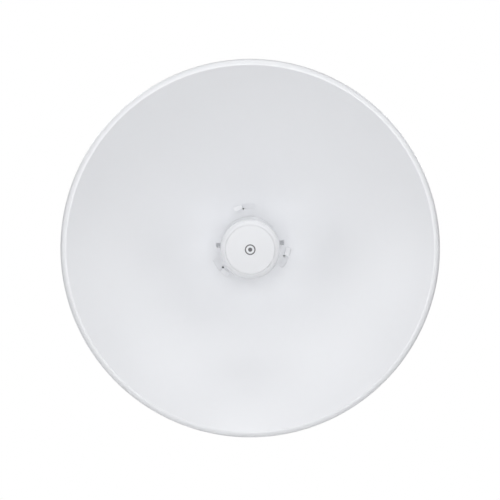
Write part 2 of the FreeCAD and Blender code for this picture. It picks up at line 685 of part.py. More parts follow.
# ---- feed: antenna parts ------------------------------------------------------------------------
def splash_plate():
    """Aluminium sub-reflector behind the cap, slightly coned towards the dish."""
    y = SPLASH_Y
    return turned_polygon([(0, y), (SPLASH_R, y), (SPLASH_R, y + 1.2), (9.0, y + 2.6), (0, y + 4.2)])


def feed_horn():
    """Aluminium cup that holds the radiator in front of the board."""
    inner = HORN_R - HORN_WALL
    return turned_polygon([
        (0, HORN_BACK_Y), (HORN_R, HORN_BACK_Y), (HORN_R, HORN_MOUTH_Y), (inner, HORN_MOUTH_Y),
        (inner, HORN_FLOOR_Y), (0, HORN_FLOOR_Y),
    ])


def radiator_patch():
    """Printed radiator disc on a short centre post."""
    rear = HORN_FLOOR_Y - 5.0
    disc = rod_y(PATCH_R, rear - 1.5, rear)
    post = rod_y(2.5, rear, HORN_FLOOR_Y)
    return disc.fuse(post)


def horn_support():
    """Plastic tube that holds the splash plate at its distance from the horn."""
    outer = HORN_R - HORN_WALL - 0.5
    front = SPLASH_Y + 2.5
    tube = rod_y(outer, front, HORN_MOUTH_Y)
    return tube.cut(rod_y(outer - 1.2, front - 1, HORN_MOUTH_Y + 1))


# ---- feed: electronics --------------------------------------------------------------------------
def light_places():
    return [0.0, 3.0, 6.0, 9.0]


def board_screw_places():
    return [(x, y) for x in (-15.0, 15.0) for y in (-168.0, -122.0)]


def radio_board():
    board = soft_block(-BOARD_HALF_X, BOARD_HALF_X, BOARD_FRONT_Y, BOARD_REAR_Y,
                       BOARD_UNDER_Z, BOARD_TOP_Z, 2, Z_AXIS)
    holes = [rod_z(1.4, BOARD_UNDER_Z - 1, BOARD_TOP_Z + 1, x, y) for x, y in board_screw_places()]
    return board.cut(holes)


def thermal_pad():
    return block(-11, 11, -170, -120, BOARD_UNDER_Z - PAD_T, BOARD_UNDER_Z)


def heat_spreader():
    """Ribbed aluminium carrier under the board, with four pillars for the board's screws."""
    top = BOARD_UNDER_Z - PAD_T
    plate = block(-18, 18, -172, -118, top - 3, top)
    fins = [block(x - 0.8, x + 0.8, -172, -118, top - 8.5, top - 3) for x in (-14, -7, 0, 7, 14)]
    posts = [rod_z(3.0, top - 3, top + PAD_T, x, y) for x, y in board_screw_places()]
    body = plate.fuse(fins + posts)
    return body.cut([rod_z(1.2, top - 5, top + 2, x, y) for x, y in board_screw_places()])


def tail_posts():
    """Two brass posts on the board that the tail screws go into."""
    posts = []
    for x, z in tail_screw_places():
        foot = block(x - 3.2, x + 3.2, TAIL_Y - 14, TAIL_Y - 7.2, BOARD_TOP_Z, z + 3.2)
        posts.append(foot.cut(rod_y(1.47, TAIL_Y - 13, TAIL_Y - 5, x, z)))
    return group(posts)


def board_screws():
    screws = []
    for x, y in board_screw_places():
        shank = rod_z(1.18, BOARD_TOP_Z - 5, BOARD_TOP_Z, x, y)
        screws.append(shank.fuse(rod_z(2.3, BOARD_TOP_Z, BOARD_TOP_Z + 1.5, x, y)))
    return group(screws)


def shield_can(x0, x1, y0, y1, height):
    """Thin steel can over a circuit, open towards the board."""
    wall = 0.4
    top = BOARD_TOP_Z + height
    can = soft_block(x0, x1, y0, y1, BOARD_TOP_Z, top, 1.2, Z_AXIS)
    return can.cut(block(x0 + wall, x1 - wall, y0 + wall, y1 - wall, BOARD_TOP_Z - 1, top - wall))


def radio_shield():
    return shield_can(-12, 12, -164, -136, 3.6)


def processor_shield():
    return shield_can(-12, 12, -132, -112, 3.6)


def ethernet_transformer():
    return soft_block(-8, 8, -108.5, -101.5, BOARD_TOP_Z, BOARD_TOP_Z + 6, 0.6, Z_AXIS)


def ethernet_jack():
    """Shielded jack under the board's tail, its mouth facing down."""
    body = soft_block(-8, 8, JACK_Y - 7.5, JACK_Y + 7.5, -26.5, BOARD_UNDER_Z, 0.6, Z_AXIS)
    mouth = block(-5.9, 5.9, JACK_Y - 3.9, JACK_Y + 3.9, -27, -13.5)
    key = block(-3.2, 3.2, JACK_Y + 3.8, JACK_Y + 5.6, -27, -16)
    return body.cut([mouth, key])


def light_guide():
    """Four light pipes on one bar, from the board to the underside of the tail."""
    top = BOARD_UNDER_Z - 0.3
    guide = block(-1.3, 10.3, BUTTON_Y - 1.5, BUTTON_Y + 1.5, top - 2.2, top)
    for x in light_places():
        flush = 0.2 - math.sqrt(FEED_R ** 2 - (x + 1.1) ** 2)
        guide = guide.fuse(rod_z(1.1, flush, top - 1, x, BUTTON_Y))
    return guide


def reset_switch():
    half = 3.0
    return block(BUTTON_X - half, BUTTON_X + half, BUTTON_Y - half, BUTTON_Y + half,
                 BOARD_UNDER_Z - 3.6, BOARD_UNDER_Z)


def reset_button():
    """Recessed plunger under the tail, with a collar inside the tube."""
    plunger = rod_z(1.7, -26.4, -13.6, BUTTON_X, BUTTON_Y)
    return plunger.fuse(rod_z(2.8, -24.0, -22.8, BUTTON_X, BUTTON_Y))


NODES = {
    "pole_bracket": pole_bracket,
    "clamp_bolts": clamp_bolts,
    "tilt_pivot_bolt": tilt_pivot_bolt,
    "tilt_pivot_washers": tilt_pivot_washers,
    "tilt_pivot_nut": tilt_pivot_nut,
    "tilt_lock_bolts": tilt_lock_bolts,
    "tilt_lock_washers": tilt_lock_washers,
    "tilt_lock_nuts": tilt_lock_nuts,
    "clamp_jaw": clamp_jaw,
    "clamp_washers": clamp_washers,
    "clamp_nuts": clamp_nuts,
    "tilt_bracket": tilt_bracket,
    "bracket_screws": bracket_screws,
    "rear_housing": rear_housing,
    "release_lever": release_lever,
    "lever_pin": lever_pin,
    "lever_spring": lever_spring,
    "cable_door": cable_door,
    "cable_grommet": cable_grommet,
    "dish_reflector": dish_reflector,
    "feed_tube": feed_tube,
    "feed_cap": feed_cap,
    "cap_disc": cap_disc,
    "tail_cap": tail_cap,
    "tail_seal": tail_seal,
    "tail_screws": tail_screws,
    "splash_plate": splash_plate,
    "feed_horn": feed_horn,
    "horn_support": horn_support,
    "radiator_patch": radiator_patch,
    "radio_board": radio_board,
    "thermal_pad": thermal_pad,
    "heat_spreader": heat_spreader,
    "tail_posts": tail_posts,
    "board_screws": board_screws,
    "radio_shield": radio_shield,
    "processor_shield": processor_shield,
    "ethernet_transformer": ethernet_transformer,
    "ethernet_jack": ethernet_jack,
    "light_guide": light_guide,
    "reset_switch": reset_switch,
    "reset_button": reset_button,
}


def main():
    os.makedirs("parts", exist_ok=True)
    for name, make in NODES.items():
        shape = make()
        shape.exportStep(os.path.join("parts", name + ".step"))
        box = shape.BoundBox
        spans = [(box.XMin, box.XMax), (box.YMin, box.YMax), (box.ZMin, box.ZMax)]
        reach = " ".join(f"{low:.1f}..{high:.1f}" for low, high in spans)
        print(f"{name}: {len(shape.Solids)} solids, valid {shape.isValid()}, "
              f"{shape.Volume / 1000:.2f} cm3, x y z {reach}")


main()
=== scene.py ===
# %% [markdown]
# # An outdoor wireless bridge, cell by cell
#
# The object is a white parabolic dish with a radio in its feed, a rear housing, an elevation bracket
# and a pole clamp. The frame that comes in below is the engineering model: every piece is already at
# its real size and place. Each cell gives one kind of piece its final shape or its finish.

# %% Load the frame
import json
import math

import bmesh
import bpy
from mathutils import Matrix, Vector


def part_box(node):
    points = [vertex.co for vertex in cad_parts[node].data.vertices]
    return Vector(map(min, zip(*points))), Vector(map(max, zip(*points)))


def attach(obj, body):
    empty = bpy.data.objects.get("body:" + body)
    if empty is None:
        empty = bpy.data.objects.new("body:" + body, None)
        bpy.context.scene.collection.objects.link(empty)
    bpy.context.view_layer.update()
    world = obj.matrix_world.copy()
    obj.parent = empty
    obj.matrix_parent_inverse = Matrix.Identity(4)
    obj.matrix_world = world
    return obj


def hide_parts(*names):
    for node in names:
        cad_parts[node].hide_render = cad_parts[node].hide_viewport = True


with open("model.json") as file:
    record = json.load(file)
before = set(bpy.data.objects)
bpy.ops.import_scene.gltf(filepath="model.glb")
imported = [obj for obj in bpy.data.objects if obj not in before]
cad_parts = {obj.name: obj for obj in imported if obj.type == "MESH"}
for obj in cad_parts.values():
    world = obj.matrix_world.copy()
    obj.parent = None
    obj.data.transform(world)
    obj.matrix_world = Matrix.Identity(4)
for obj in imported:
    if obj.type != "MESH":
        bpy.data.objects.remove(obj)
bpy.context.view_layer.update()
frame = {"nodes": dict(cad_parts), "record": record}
MM = 0.001
BODY_OF = {node: body for body, nodes in frame["record"]["behaviour"]["bodies"].items() for node in nodes}
SLOT_OF = {part["node"]: part["material_slot"] for part in frame["record"]["subparts"]}

# %% [markdown]
# ## A short way to write nodes
#
# Materials and Geometry Nodes are both trees of small boxes joined by wires. Writing each box in three
# lines hides the idea, so one helper adds a node, sets its options and joins whatever is handed to it:
# a socket becomes a wire, anything else becomes the value of the input.


# %% Helper: add a node
def add(tree, kind, inputs=None, **options):
    """New node of a kind. inputs maps a socket's name or number to a value or to another socket."""
    node = tree.nodes.new(kind)
    for key, value in options.items():
        setattr(node, key, value)
    for key, value in (inputs or {}).items():
        if isinstance(value, bpy.types.NodeSocket):
            tree.links.new(value, node.inputs[key])
        else:
            node.inputs[key].default_value = value
    return node


def calculate(tree, operation, a, b=0.0, c=0.0):
    """One sum on numbers, as a Math node. Returns its output."""
    return add(tree, "ShaderNodeMath", {0: a, 1: b, 2: c}, operation=operation).outputs[0]


print("helpers ready")

# %% [markdown]
# ## The finishes
#
# Each finish starts from the Principled shader. What makes a surface look real at this size is what a
# plain colour leaves out: a colour that drifts a little from place to place, a gloss that isn't the same
# everywhere, and a fine relief that breaks up the highlight. All three come from noise on the piece's
# own coordinates, so that the pattern stays put when the piece moves.


# %% Helper: a finish made of drift, gloss and relief
def finish(name, colour, rough, metallic=0.0, drift=0.03, drift_size=60.0, rough_drift=0.05, grain_size=1.0,
           grain_depth=0.02, coat=0.0, stretch=(1.0, 1.0, 1.0)):
    """Material whose colour and gloss drift over drift_size mm. Its grain and relief are in mm as well."""
    material = bpy.data.materials.new(name)
    material.use_nodes = True
    tree = material.node_tree
    shader = tree.nodes["Principled BSDF"]
    shader.inputs["Metallic"].default_value = metallic
    shader.inputs["Coat Weight"].default_value = coat
    shader.inputs["Coat Roughness"].default_value = 0.25
    place = add(tree, "ShaderNodeTexCoord").outputs["Object"]
    place = add(tree, "ShaderNodeMapping", {"Vector": place, "Scale": stretch}).outputs["Vector"]
    slow = add(tree, "ShaderNodeTexNoise",
               {"Vector": place, "Scale": 1 / (drift_size * MM), "Detail": 3.0}).outputs["Fac"]
    dark = [channel * (1 - drift) for channel in colour] + [1.0]
    light = [min(1.0, channel * (1 + drift)) for channel in colour] + [1.0]
    mixed = add(tree, "ShaderNodeMix", {"Factor": slow, "A": dark, "B": light}, data_type="RGBA")
    tree.links.new(mixed.outputs["Result"], shader.inputs["Base Color"])
    gloss = calculate(tree, "MULTIPLY_ADD", slow, 2 * rough_drift, rough - rough_drift)
    tree.links.new(gloss, shader.inputs["Roughness"])
    fine = add(tree, "ShaderNodeTexNoise",
               {"Vector": place, "Scale": 1 / (grain_size * MM), "Detail": 2.0}).outputs["Fac"]
    relief = add(tree, "ShaderNodeBump", {"Height": fine, "Strength": 1.0, "Distance": grain_depth * MM})
    tree.links.new(relief.outputs["Normal"], shader.inputs["Normal"])
    return material


# %% Make the finishes
FINISH = {
    "powder_white": finish("powder_coat_white", (0.83, 0.84, 0.865), 0.36, drift=0.006, drift_size=90,
                           rough_drift=0.03, grain_size=1.6, grain_depth=0.004, coat=0.12),
    "housing_white": finish("moulded_white", (0.82, 0.83, 0.855), 0.46, drift=0.012, rough_drift=0.04,
                            grain_size=0.5, grain_depth=0.006),
    # The front disc's white is set darker than the moulded white of the cap around it. This is painted shade:
    # the front-facing disc catches less light than the shoulder beside it.
    "disc_white": finish("satin_disc_white_painted_shade", (0.758, 0.768, 0.793), 0.40, drift=0.006, rough_drift=0.02,
                         grain_size=0.4, grain_depth=0.003),
    "cast_grey": finish("die_cast_aluminium", (0.56, 0.57, 0.59), 0.50, metallic=1.0, drift=0.07,
                        drift_size=14, rough_drift=0.10, grain_size=0.7, grain_depth=0.02),
    "zinc_steel": finish("zinc_plated_steel", (0.66, 0.67, 0.70), 0.28, metallic=1.0, drift=0.08,
                         drift_size=5, rough_drift=0.10, grain_size=0.6, grain_depth=0.006),
    "spring_steel": finish("spring_steel", (0.48, 0.49, 0.52), 0.30, metallic=1.0, grain_size=0.3),
    "aluminium": finish("plain_aluminium", (0.76, 0.77, 0.79), 0.30, metallic=1.0, grain_size=0.4,
                        grain_depth=0.004, stretch=(1.0, 6.0, 1.0)),
    "tin_plate": finish("tin_plate", (0.70, 0.71, 0.72), 0.25, metallic=1.0, grain_size=0.8,
                        grain_depth=0.004),
    "brass": finish("turned_brass", (0.76, 0.60, 0.28), 0.28, metallic=1.0, grain_size=0.5,
                    grain_depth=0.004),
    "copper_foil": finish("copper_foil", (0.80, 0.46, 0.30), 0.35, metallic=1.0, grain_size=0.5,
                          grain_depth=0.003),
    "black_rubber": finish("black_rubber", (0.022, 0.022, 0.024), 0.62, drift=0.2, drift_size=6,
                           grain_size=0.35, grain_depth=0.02),
    "pad_grey": finish("gap_pad", (0.40, 0.46, 0.55), 0.75, drift=0.05, grain_size=0.5, grain_depth=0.02),
    "board_green": finish("solder_mask", (0.02, 0.16, 0.06), 0.30, drift=0.15, drift_size=6, grain_size=0.9,
                          grain_depth=0.02, coat=0.4),
    "black_plastic": finish("black_plastic", (0.02, 0.02, 0.022), 0.45, drift=0.1, grain_size=0.4),
    "natural_plastic": finish("natural_plastic", (0.80, 0.78, 0.70), 0.5, drift=0.02, grain_size=0.5),
    "button_grey": finish("button_grey", (0.12, 0.12, 0.13), 0.5, drift=0.05, grain_size=0.4),
    "clear_plastic": finish("clear_light_pipe", (0.80, 0.86, 0.90), 0.12, drift=0.02, grain_size=0.6),
}
for node, thing in frame["nodes"].items():
    material = FINISH[SLOT_OF[node]]
    for slot in thing.material_slots:
        slot.material = material
print("finishes:", len(FINISH))

# %% [markdown]
# ## Turning a profile
#
# The dish, the feed's cap and its front disc are all turned shapes. A lathe does one thing: it carries
# an outline round an axis. The tree below does the same. It takes the outline as a closed loop of
# vertices (x is the radius, y the height), lays a grid with one row per spoke, reads the outline at each
# row and turns it. A plain Spin would work too, but the tree keeps the number of spokes as an input.


# %% Helpers: Geometry Nodes trees with named inputs
WELD = 2e-6                         # metres; corners closer than this become one
SHARP = 30.0                        # degrees; edges over this are drawn as edges


def new_tree(name, numbers):
    """Empty tree with a geometry input and output, and one named input for each of numbers."""
    tree = bpy.data.node_groups.new(name, "GeometryNodeTree")
    face = tree.interface
    face.new_socket("Geometry", in_out="INPUT", socket_type="NodeSocketGeometry")
    for label, kind in numbers.items():
        face.new_socket(label, in_out="INPUT", socket_type=kind)
    face.new_socket("Geometry", in_out="OUTPUT", socket_type="NodeSocketGeometry")
    start = tree.nodes.new("NodeGroupInput")
    return tree, start.outputs


def close_tree(tree, geometry, material):
    """Ends a tree: realised instances, one material, output."""
    real = add(tree, "GeometryNodeRealizeInstances", {0: geometry}).outputs[0]
    dressed = add(tree, "GeometryNodeSetMaterial", {"Geometry": real, "Material": material}).outputs[0]
    tree.links.new(dressed, tree.nodes.new("NodeGroupOutput").inputs[0])


def run_tree(name, mesh, tree, values, sharp=SHARP):
    """New object whose mesh is what the tree makes of a mesh with these input values."""
    source = bpy.data.objects.new(name + "_source", mesh)
    bpy.context.scene.collection.objects.link(source)
    modifier = source.modifiers.new("nodes", "NODES")
    modifier.node_group = tree
    for item in tree.interface.items_tree:
        if item.in_out == "INPUT" and item.name in values:
            modifier[item.identifier] = values[item.name]
    evaluated = source.evaluated_get(bpy.context.evaluated_depsgraph_get())
    made = bpy.data.meshes.new_from_object(evaluated)
    bpy.data.objects.remove(source)
    return new_piece(name, made, sharp)


def new_piece(name, mesh, sharp=SHARP):
    """Object at the origin: doubles merged, faces outwards, smooth but for edges over sharp degrees."""
    work = bmesh.new()
    work.from_mesh(mesh)
    bmesh.ops.remove_doubles(work, verts=work.verts, dist=WELD / 2)
    bmesh.ops.recalc_face_normals(work, faces=work.faces)
    work.to_mesh(mesh)
    work.free()
    mesh.name = name
    mesh.shade_smooth()
    mesh.set_sharp_from_angle(angle=math.radians(sharp))
    piece = bpy.data.objects.new(name, mesh)
    bpy.context.scene.collection.objects.link(piece)
    return piece


def stand_in(piece, *nodes):
    """The piece replaces CAD nodes, rides where they ride and keeps their slot."""
    if not piece.data.materials:
        piece.data.materials.append(FINISH[SLOT_OF[nodes[0]]])
    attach(piece, BODY_OF[nodes[0]])
    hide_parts(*nodes)
    print(piece.name, "has", len(piece.data.polygons), "faces")
    return piece


# %% Build the lathe
def lathe_geometry(tree, outline, spokes):
    """Nodes that carry an outline once round Z. Returns the geometry socket."""
    size = add(tree, "GeometryNodeAttributeDomainSize", {0: outline}, component="MESH")
    count = size.outputs["Point Count"]
    row = calculate(tree, "ADD", count, 1.0)
    rows = calculate(tree, "ADD", spokes, 1.0)
    grid = add(tree, "GeometryNodeMeshGrid", {"Vertices X": rows, "Vertices Y": row}).outputs["Mesh"]
    index = add(tree, "GeometryNodeInputIndex").outputs[0]
    along = calculate(tree, "MODULO", calculate(tree, "MODULO", index, row), count)
    spoke = calculate(tree, "FLOOR", calculate(tree, "DIVIDE", calculate(tree, "ADD", index, 0.5), row))
    angle = calculate(tree, "MULTIPLY", calculate(tree, "DIVIDE", spoke, spokes), 2 * math.pi)
    position = add(tree, "GeometryNodeInputPosition").outputs[0]
    sample = add(tree, "GeometryNodeSampleIndex", {"Geometry": outline, "Index": along},
                 data_type="FLOAT_VECTOR", domain="POINT")
    tree.links.new(position, sample.inputs["Value"])
    split = add(tree, "ShaderNodeSeparateXYZ", {0: sample.outputs["Value"]}).outputs
    flat_x = calculate(tree, "MULTIPLY", split[0], calculate(tree, "COSINE", angle))
    flat_y = calculate(tree, "MULTIPLY", split[0], calculate(tree, "SINE", angle))
    place = add(tree, "ShaderNodeCombineXYZ", {0: flat_x, 1: flat_y, 2: split[1]}).outputs[0]
    moved = add(tree, "GeometryNodeSetPosition", {"Geometry": grid, "Position": place}).outputs[0]
    return add(tree, "GeometryNodeMergeByDistance", {"Geometry": moved, "Distance": WELD}).outputs[0]


def facing_front(tree, geometry):
    """Turns what was made about Z to lie about Y, with its height towards the front."""
    turn = {"Geometry": geometry, "Rotation": (math.radians(90), 0.0, 0.0)}
    return add(tree, "GeometryNodeTransform", turn).outputs[0]


def lathe_tree(material):
    tree, given = new_tree("lathe", {"Spokes": "NodeSocketInt"})
    made = lathe_geometry(tree, given["Geometry"], given["Spokes"])
    close_tree(tree, facing_front(tree, made), material)
    return tree


def outline_mesh(name, points):
    """Closed loop of edges through (radius, height) points, for the lathe."""
    mesh = bpy.data.meshes.new(name)
    edges = [(i, (i + 1) % len(points)) for i in range(len(points))]
    mesh.from_pydata([(r, h, 0.0) for r, h in points], edges, [])
    return mesh


def sweep(centre, radius, start, end, steps):
    """Points on an arc, from start to end in degrees, both ends included."""
    for i in range(steps + 1):
        angle = math.radians(start + (end - start) * i / steps)
        yield centre[0] + radius * math.cos(angle), centre[1] + radius * math.sin(angle)


# %% [markdown]
# ## The dish
#
# The reflector is one sheet of aluminium, spun to a paraboloid and rolled over at its rim. A parallel
# beam that meets a paraboloid leaves it towards one point, so its height is r squared over four times
# the focal length, and nothing else will do. The lip leans a little further forwards at the crease and
# then curls back, which stiffens the edge. The three keyhole slots are one cutter, turned three times
# and taken away with a boolean: what repeats is made once.

# %% Measure the dish
DISH_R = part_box("dish_reflector")[1][0]
SHEET = 1.2 * MM
FOCUS = 112.0 * MM
CREASE_R = DISH_R - 6.8 * MM
HOLE_R = 31.0 * MM
APEX = 120.0 * MM                   # the bowl's middle, in front of the pole's axis
LIP_LEAN = 10.0                     # degrees
LIP_SKIRT = 4.5 * MM
LIP_EDGE = 0.3 * MM
DISH_SPOKES, SLOT_COUNT = 360, 3
WIDE_SLOT = {"from": 83.4, "to": 101.0, "r0": 40.4 * MM, "r1": 46.3 * MM}
NARROW_SLOT = {"from": 100.0, "to": 115.0, "r0": 41.6 * MM, "r1": 45.2 * MM}
INDEX_R, INDEX_TURN, INDEX_HOLE_R = 41.0 * MM, 100.9, 1.0 * MM
POCKET_R, POCKET_SIDE, POCKET_TURN = 36.2 * MM, 5.0 * MM, 2.6
print("dish radius", round(DISH_R, 4), "m, depth", round((CREASE_R ** 2) / (4 * FOCUS), 4), "m")


# %% Draw the outline of the sheet
def bowl_height(radius):
    return APEX + radius ** 2 / (4 * FOCUS)


def dish_outline(rings=84):
    """Front surface, lip and back surface as one closed outline."""
    lean = math.radians(LIP_LEAN)
    outer = (DISH_R - CREASE_R) / (1 + math.sin(lean))
    centre = (DISH_R - outer, bowl_height(CREASE_R) - outer * math.cos(lean))
    radii = [HOLE_R + (CREASE_R - HOLE_R) * i / rings for i in range(rings + 1)]
    front = [(r, bowl_height(r)) for r in radii]
    lip = list(sweep(centre, outer, 90 + LIP_LEAN, 0, 14))
    end = centre[1] - LIP_SKIRT
    skirt = [(DISH_R, end + LIP_EDGE), (DISH_R - LIP_EDGE, end), (DISH_R - SHEET + LIP_EDGE, end),
             (DISH_R - SHEET, end + LIP_EDGE)]
    curl = list(sweep(centre, outer - SHEET, 0, 90 + LIP_LEAN, 12))
    slope = CREASE_R / (2 * FOCUS)
    extra = SHEET * (math.sqrt(1 + slope ** 2) - 1)
    back = [(r, bowl_height(r) - SHEET - extra * (r / CREASE_R) ** 2) for r in reversed(radii)]
    return front + lip[1:] + skirt + curl + [(r, h) for r, h in back if r < curl[-1][0] - 0.5 * MM]


# %% Helpers: cut one shape with another
CUTTER_DEEP = 20 * MM


def combined(tree, operation, first, second):
    """DIFFERENCE: what is left of the first shape without the second. INTERSECT: what they share."""
    both = add(tree, "GeometryNodeMeshBoolean", operation=operation, solver="EXACT")
    tree.links.new(first, both.inputs[1 if operation == "INTERSECT" else 0])
    tree.links.new(second, both.inputs[1])
    return both.outputs[0]


def moved_by(tree, geometry, x, y, z):
    return add(tree, "GeometryNodeTransform", {"Geometry": geometry, "Translation": (x, y, z)}).outputs[0]


def cylinder(tree, radius, depth, sides):
    """Cylinder about Z, its middle at the origin."""
    made = add(tree, "GeometryNodeMeshCylinder", {"Vertices": sides, "Radius": radius, "Depth": depth})
    return made.outputs["Mesh"]


# %% Grow the tree of the dish
def slot_cutter(tree, slot):
    """Bent block that cuts one part of a keyhole slot."""
    middle = (slot["r0"] + slot["r1"]) / 2
    path = add(tree, "GeometryNodeCurveArc", {
        "Resolution": 24, "Radius": middle, "Start Angle": math.radians(slot["from"]),
        "Sweep Angle": math.radians(slot["to"] - slot["from"])}).outputs["Curve"]
    section = add(tree, "GeometryNodeCurvePrimitiveQuadrilateral",
                  {"Width": slot["r1"] - slot["r0"], "Height": CUTTER_DEEP}).outputs["Curve"]
    swept = add(tree, "GeometryNodeCurveToMesh",
                {"Curve": path, "Profile Curve": section, "Fill Caps": True}).outputs[0]
    return moved_by(tree, swept, 0.0, 0.0, bowl_height(middle))


def index_cutter(tree):
    rod = cylinder(tree, INDEX_HOLE_R, CUTTER_DEEP, 24)
    return moved_by(tree, rod, INDEX_R, 0.0, bowl_height(INDEX_R))


def pocket_cutter(tree):
    size = (POCKET_SIDE, POCKET_SIDE, CUTTER_DEEP)
    cube = add(tree, "GeometryNodeMeshCube", {"Size": size}).outputs["Mesh"]
    return moved_by(tree, cube, POCKET_R, 0.0, bowl_height(POCKET_R))


def turned_copies(tree, geometry, count, first):
    """count copies of a geometry round Z, the first turned by first degrees."""
    single = add(tree, "GeometryNodeGeometryToInstance", {0: geometry}).outputs[0]
    many = add(tree, "GeometryNodeDuplicateElements", {"Geometry": single, "Amount": count},
               domain="INSTANCE")
    step = calculate(tree, "DIVIDE", 2 * math.pi, count)
    angle = calculate(tree, "MULTIPLY_ADD", many.outputs["Duplicate Index"], step, math.radians(first))
    turn = add(tree, "ShaderNodeCombineXYZ", {2: angle}).outputs[0]
    turned = add(tree, "GeometryNodeRotateInstances", {
        "Instances": many.outputs[0], "Rotation": turn, "Pivot Point": (0.0, 0.0, 0.0),
        "Local Space": False}).outputs[0]
    return add(tree, "GeometryNodeRealizeInstances", {0: turned}).outputs[0]


def dish_tree(material):
    tree, given = new_tree("dish", {"Spokes": "NodeSocketInt", "Slots": "NodeSocketInt"})
    sheet = lathe_geometry(tree, given["Geometry"], given["Spokes"])
    for cutter, count, first in ((slot_cutter(tree, WIDE_SLOT), given["Slots"], 0.0),
                                 (slot_cutter(tree, NARROW_SLOT), given["Slots"], 0.0),
                                 (index_cutter(tree), given["Slots"], INDEX_TURN),
                                 (pocket_cutter(tree), 2, POCKET_TURN)):
        sheet = combined(tree, "DIFFERENCE", sheet, turned_copies(tree, cutter, count, first))
    close_tree(tree, facing_front(tree, sheet), material)
    return tree


dish = run_tree("dish_bowl", outline_mesh("dish_outline", dish_outline()),
                dish_tree(FINISH["powder_white"]), {"Spokes": DISH_SPOKES, "Slots": SLOT_COUNT}, sharp=28)
stand_in(dish, "dish_reflector")

# %% [markdown]
# ## The feed's shells
#
# The feed is the plastic body that stands in the middle of the bowl. Behind the dish it is a straight
# tube that slides in the rear housing. A collar in front of the dish covers the dish's hole, and beyond
# it the tube tapers outwards, because the little reflector inside the cap is wider than the radio behind
# it. The cap and its front disc are turned shapes as well, so the same lathe makes all three. Only the
# holes in the tail need cutting.

# %% Measure the feed
feed_low, feed_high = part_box("feed_tube")
cap_low, cap_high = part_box("feed_cap")
FEED_R = 28.0 * MM
JOINT_R, SHOULDER_R = feed_high[0], cap_high[0]
WALL = 2.2 * MM
TAIL = -feed_high[1]                # rear end of the tube, in front of the pole's axis
CAP_JOINT = -feed_low[1]
COLLAR_R, COLLAR, COLLAR_T = 31.6 * MM, 122.7 * MM, 1.3 * MM
TAPER = 136.0 * MM                  # the tube starts to widen here
FRONT = -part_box("cap_disc")[0][1]
DISC_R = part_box("cap_disc")[1][0]
CAP_FRONT = -cap_low[1]
SHOULDER = 204.0 * MM               # the widest section of the cap is here
SHOULDER_BOW = 1.2 * MM
SPIGOT, SPIGOT_WALL = 5 * MM, 1.6 * MM
MOULD_EDGE = 0.35 * MM
MARK_THICK = 0.05 * MM
SPOKES = 180
print("feed: tail at", round(TAIL, 4), "front at", round(FRONT, 4), "m")


# %% Draw the outlines of the shells
def tube_outline():
    """Tail, collar and taper outside; tail and taper again, one wall further in, inside."""
    edge = MOULD_EDGE
    tail_in, mouth = FEED_R - WALL, JOINT_R - WALL
    collar_front = COLLAR + COLLAR_T
    tail = [(FEED_R - edge, TAIL), (FEED_R, TAIL + edge), (FEED_R, COLLAR)]
    collar = [(COLLAR_R, COLLAR), (COLLAR_R, collar_front - edge), (COLLAR_R - edge, collar_front)]
    taper = [(FEED_R, collar_front), (FEED_R, TAPER), (JOINT_R, CAP_JOINT - edge),
             (JOINT_R - edge, CAP_JOINT)]
    inside = [(mouth, CAP_JOINT), (mouth, CAP_JOINT - SPIGOT - 1 * MM), (tail_in, TAPER - 2 * MM),
              (tail_in, TAIL)]
    return tail + collar + taper + inside


def cap_outline(steps=14):
    """Cap: a bowed shoulder from the seat of the disc to the side, and a spigot inside the tube."""
    edge = MOULD_EDGE
    seat = DISC_R + 0.12 * MM
    spigot = JOINT_R - WALL - 0.15 * MM
    inner = spigot - SPIGOT_WALL
    lip = seat + 0.5 * MM
    rise, run = CAP_FRONT - SHOULDER, SHOULDER_R - lip
    shoulder = []
    for t in (i / steps for i in range(steps + 1)):
        bow = 4 * SHOULDER_BOW * t * (1 - t) / math.hypot(rise, run)
        shoulder.append((lip + run * t + rise * bow, CAP_FRONT - rise * t + run * bow))
    front = [(0.0, CAP_FRONT - 1.0 * MM), (seat, CAP_FRONT - 1.0 * MM), (seat, CAP_FRONT - 0.2 * MM),
             (seat + 0.2 * MM, CAP_FRONT)]
    joint = [(JOINT_R, CAP_JOINT + edge), (JOINT_R - edge, CAP_JOINT), (spigot, CAP_JOINT),
             (spigot, CAP_JOINT - SPIGOT), (inner, CAP_JOINT - SPIGOT), (inner, SHOULDER)]
    back = [(DISC_R - 1.0 * MM, CAP_FRONT - 3.0 * MM), (0.0, CAP_FRONT - 3.0 * MM)]
    return front + shoulder + joint + back


def disc_outline():
    """Front disc with a rounded rim, a hair below the printed mark on it."""
    rim, thick = 0.55 * MM, 1.7 * MM
    front = FRONT - MARK_THICK
    corner = list(sweep((DISC_R - rim, front - rim), rim, 0, 90, 8))
    return [(0.0, FRONT - thick), (DISC_R, FRONT - thick)] + corner + [(0.0, front)]


def ring_outline(inside, outside):
    """Film of ink that reaches one thickness into the disc."""
    low = FRONT - 2 * MARK_THICK
    return [(inside, low), (outside, low), (outside, FRONT), (inside, FRONT)]


print("outlines:", len(tube_outline()), len(cap_outline()), len(disc_outline()), "points")


# %% Cut the holes of the tail
def box_cutter(tree, low, high):
    """Box between two corners, in millimetres of the object's own frame."""
    size = [(b - a) * MM for a, b in zip(low, high)]
    middle = [(a + b) / 2 * MM for a, b in zip(low, high)]
    cube = add(tree, "GeometryNodeMeshCube", {"Size": size}).outputs["Mesh"]
    return moved_by(tree, cube, *middle)


def joined(tree, *parts):
    join = tree.nodes.new("GeometryNodeJoinGeometry")
    for part in parts:
        tree.links.new(part, join.inputs[0])
    return join.outputs[0]


def hole_row(tree, radius, places):
    """Upright round cutters under the tail, one at each (x, y) of places in millimetres."""
    rods = [moved_by(tree, cylinder(tree, radius * MM, 10 * MM, 32), x * MM, y * MM, UNDERSIDE_Z * MM)
            for x, y in places]
    return joined(tree, *rods)


